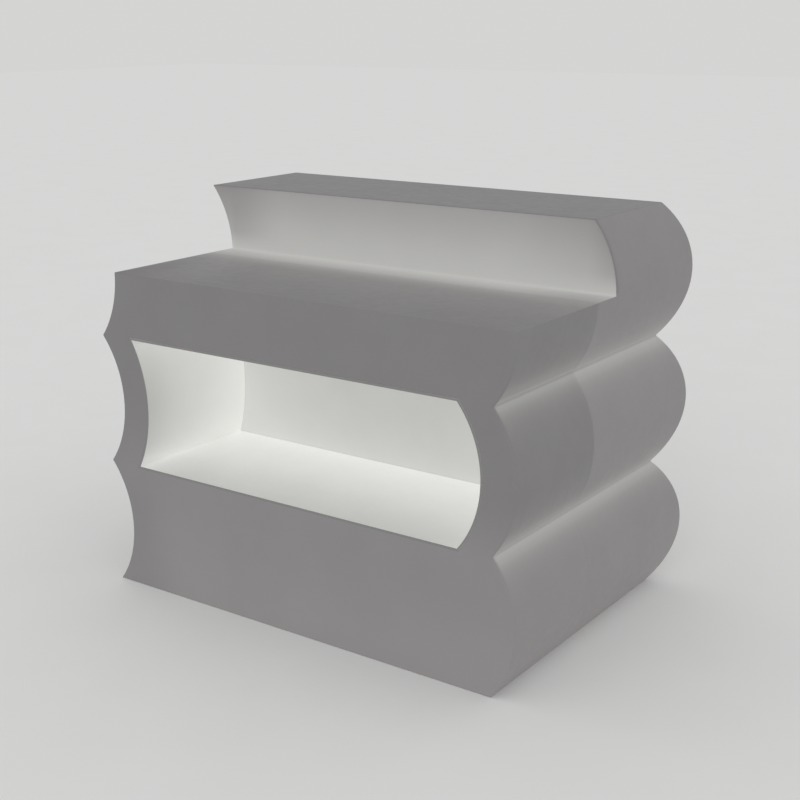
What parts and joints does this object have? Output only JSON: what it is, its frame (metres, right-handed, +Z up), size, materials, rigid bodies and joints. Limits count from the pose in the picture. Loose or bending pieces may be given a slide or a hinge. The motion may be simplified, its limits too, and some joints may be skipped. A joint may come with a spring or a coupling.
{
  "type": "illuminated bar counter",
  "caption": "Illuminated modular bar counter: bulging tiers, a scooped end that nests with the next one, a worktop with a raised bar top behind it, and a lit niche on the staff side.",
  "frame": {"origin": "on the floor, under the middle of the whole body", "axes": "+X along the counter to its swelling end, +Y from the staff side to the customer side, +Z up"},
  "size_m": [1.35, 0.9199, 1.1],
  "materials": {
    "body_plastic": "matte milky polyethylene with a fine moulded grain, glowing faintly",
    "liner_opal": "satin opal plastic, brightly lit from behind",
    "foot_plastic": "matte black moulded plastic",
    "zinc_steel": "zinc-plated steel, satin",
    "insert_brass": "turned brass, satin",
    "frame_paint": "white powder coat, fine orange peel",
    "pad_rubber": "matte rubber",
    "batten_aluminium": "satin anodised aluminium",
    "led_board": "white circuit board with pale diodes",
    "diffuser_opal": "opal plastic, lit",
    "cap_plastic": "white moulded plastic",
    "clip_steel": "spring steel, satin",
    "hatch_paint": "pale grey powder coat",
    "driver_aluminium": "satin aluminium",
    "driver_board": "green circuit board with dark parts",
    "inlet_plastic": "matte black moulded plastic",
    "pin_metal": "plated brass, bright",
    "rocker_plastic": "black moulded plastic, semi-gloss",
    "lead_sheath": "white flexible sheath, satin"
  },
  "bodies": {
    "counter_body": {"bar_top_pads": "pad_rubber", "batten_clips": "clip_steel", "batten_end_caps": "cap_plastic", "bearer_pads": "pad_rubber", "clip_screws": "zinc_steel", "driver_board": "driver_board", "driver_case": "driver_aluminium", "driver_lid": "driver_aluminium", "driver_screws": "zinc_steel", "foot_inserts": "insert_brass", "foot_lock_nuts": "zinc_steel", "frame_bolts": "zinc_steel", "frame_nuts": "zinc_steel", "front_shell": "body_plastic", "hatch_gasket": "pad_rubber", "hatch_screws": "zinc_steel", "inlet_body": "inlet_plastic", "inlet_pins": "pin_metal", "lead_clips": "cap_plastic", "left_shelf_bearer": "frame_paint", "left_upright": "frame_paint", "left_worktop_bearer": "frame_paint", "liner_screws": "zinc_steel", "lower_batten_channel": "batten_aluminium", "lower_batten_diffuser": "diffuser_opal", "lower_lamp_lead": "lead_sheath", "lower_led_board": "led_board", "middle_batten_channel": "batten_aluminium", "middle_batten_diffuser": "diffuser_opal", "middle_lamp_lead": "lead_sheath", "middle_led_board": "led_board", "niche_batten_channel": "batten_aluminium", "niche_batten_diffuser": "diffuser_opal", "niche_lamp_lead": "lead_sheath", "niche_led_board": "led_board", "niche_liner": "liner_opal", "rear_shell": "body_plastic", "right_shelf_bearer": "frame_paint", "right_upright": "frame_paint", "right_worktop_bearer": "frame_paint", "seam_bolts": "zinc_steel", "seam_nuts": "zinc_steel", "service_hatch": "hatch_paint", "supply_lead": "lead_sheath", "switch_housing": "inlet_plastic", "switch_lead": "lead_sheath", "top_rail": "frame_paint", "upper_batten_channel": "batten_aluminium", "upper_batten_diffuser": "diffuser_opal", "upper_lamp_lead": "lead_sheath", "upper_led_board": "led_board"},
    "front_left_pad": {"front_left_foot_pad": "foot_plastic"},
    "front_left_stem": {"front_left_foot_stem": "zinc_steel"},
    "front_right_pad": {"front_right_foot_pad": "foot_plastic"},
    "front_right_stem": {"front_right_foot_stem": "zinc_steel"},
    "rear_left_pad": {"rear_left_foot_pad": "foot_plastic"},
    "rear_left_stem": {"rear_left_foot_stem": "zinc_steel"},
    "rear_right_pad": {"rear_right_foot_pad": "foot_plastic"},
    "rear_right_stem": {"rear_right_foot_stem": "zinc_steel"},
    "rocker": {"switch_rocker": "rocker_plastic"}
  },
  "joints": [
    {"name": "front_left_foot_height", "type": "slide", "parent": "counter_body", "child": "front_left_pad", "axis": [0, 0, -1], "range_m": [0, 0.012]},
    {"name": "front_left_foot_turn", "type": "hinge", "parent": "front_left_pad", "child": "front_left_stem", "pos_m": [-0.555, -0.35, 0.02], "axis": [0, 0, -1], "range_deg": [0, 2881]},
    {"name": "front_right_foot_height", "type": "slide", "parent": "counter_body", "child": "front_right_pad", "axis": [0, 0, -1], "range_m": [0, 0.012]},
    {"name": "front_right_foot_turn", "type": "hinge", "parent": "front_right_pad", "child": "front_right_stem", "pos_m": [0.489, -0.35, 0.02], "axis": [0, 0, -1], "range_deg": [0, 2881]},
    {"name": "rear_left_foot_height", "type": "slide", "parent": "counter_body", "child": "rear_left_pad", "axis": [0, 0, -1], "range_m": [0, 0.012]},
    {"name": "rear_left_foot_turn", "type": "hinge", "parent": "rear_left_pad", "child": "rear_left_stem", "pos_m": [-0.555, 0.276, 0.02], "axis": [0, 0, -1], "range_deg": [0, 2881]},
    {"name": "rear_right_foot_height", "type": "slide", "parent": "counter_body", "child": "rear_right_pad", "axis": [0, 0, -1], "range_m": [0, 0.012]},
    {"name": "rear_right_foot_turn", "type": "hinge", "parent": "rear_right_pad", "child": "rear_right_stem", "pos_m": [0.489, 0.276, 0.02], "axis": [0, 0, -1], "range_deg": [0, 2881]},
    {"name": "rocker_tilt", "type": "hinge", "parent": "counter_body", "child": "rocker", "pos_m": [0.165, -0.4, 0.73533], "axis": [1, 0, 0], "range_deg": [-20, 0]}
  ],
  "couplings": [
    {"joint": "front_left_foot_turn", "follows": "front_left_foot_height", "rad_per_m": 4188.8},
    {"joint": "front_right_foot_turn", "follows": "front_right_foot_height", "rad_per_m": 4188.8},
    {"joint": "rear_left_foot_turn", "follows": "rear_left_foot_height", "rad_per_m": 4188.8},
    {"joint": "rear_right_foot_turn", "follows": "rear_right_foot_height", "rad_per_m": 4188.8}
  ]
}
